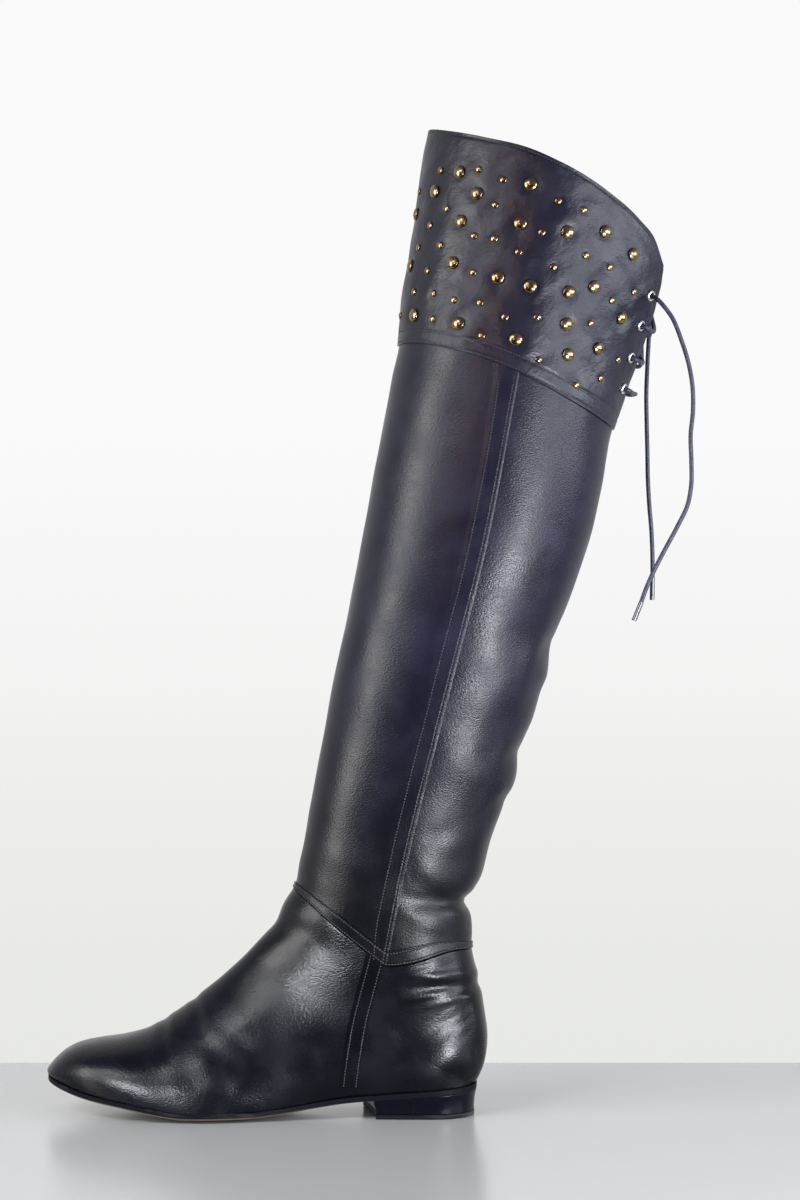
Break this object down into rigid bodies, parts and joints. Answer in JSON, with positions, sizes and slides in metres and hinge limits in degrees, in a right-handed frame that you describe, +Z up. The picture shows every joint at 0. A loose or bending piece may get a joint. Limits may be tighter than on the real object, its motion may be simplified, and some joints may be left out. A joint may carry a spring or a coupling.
{
  "type": "over-the-knee boot",
  "caption": "Flat over-the-knee leather boot with a low block heel, seamed leg, ankle band and flared studded cuff that laces at the back; stands empty on its sole.",
  "frame": {"origin": "middle of the heel's floor face", "axes": "+Z up, -X towards the toe, -Y the outer side of the leg"},
  "size_m": [0.3778, 0.1234, 0.5742],
  "materials": {
    "upper_leather": "black satin leather, fine grain",
    "cuff_leather": "black leather, smoother and glossier than the leg",
    "sole_rubber": "matt dark sole, worn edge",
    "heel_block": "glossy black",
    "insole_lining": "matt lining",
    "stud_brass": "antique brass, polished domes",
    "eyelet_nickel": "polished nickel",
    "lace_cord": "round waxed cord"
  },
  "bodies": {
    "root": {"outsole": "sole_rubber", "top_lift": "sole_rubber", "heel": "heel_block", "insole": "insole_lining", "upper": "upper_leather", "shaft": "upper_leather", "cuff": "cuff_leather", "foot_seam_outer": "upper_leather", "foot_seam_inner": "upper_leather", "stud_outer_01": "stud_brass", "stud_outer_02": "stud_brass", "stud_outer_03": "stud_brass", "stud_outer_04": "stud_brass", "stud_outer_05": "stud_brass", "stud_outer_06": "stud_brass", "stud_outer_07": "stud_brass", "stud_outer_08": "stud_brass", "stud_outer_09": "stud_brass", "stud_outer_10": "stud_brass", "stud_outer_11": "stud_brass", "stud_outer_12": "stud_brass", "stud_outer_13": "stud_brass", "stud_outer_14": "stud_brass", "stud_outer_15": "stud_brass", "stud_outer_16": "stud_brass", "stud_outer_17": "stud_brass", "stud_outer_18": "stud_brass", "stud_outer_19": "stud_brass", "stud_outer_20": "stud_brass", "stud_outer_21": "stud_brass", "stud_outer_22": "stud_brass", "stud_outer_23": "stud_brass", "stud_inner_01": "stud_brass", "stud_inner_02": "stud_brass", "stud_inner_04": "stud_brass", "stud_inner_07": "stud_brass", "stud_inner_09": "stud_brass", "stud_inner_10": "stud_brass", "stud_inner_13": "stud_brass", "stud_inner_15": "stud_brass", "stud_inner_18": "stud_brass", "stud_inner_19": "stud_brass", "stud_inner_21": "stud_brass", "stud_inner_22": "stud_brass", "eyelet_outer_1": "eyelet_nickel", "eyelet_outer_2": "eyelet_nickel", "eyelet_outer_3": "eyelet_nickel", "eyelet_outer_4": "eyelet_nickel", "eyelet_inner_1": "eyelet_nickel", "eyelet_inner_2": "eyelet_nickel", "eyelet_inner_3": "eyelet_nickel", "eyelet_inner_4": "eyelet_nickel", "lace_bar": "lace_cord", "lace_cross_inside": "lace_cord", "lace_cross_middle": "lace_cord", "lace_cross_top": "lace_cord", "lace_end_outer": "lace_cord", "lace_end_inner": "lace_cord", "aglet_outer": "eyelet_nickel", "aglet_inner": "eyelet_nickel"}
  },
  "joints": []
}
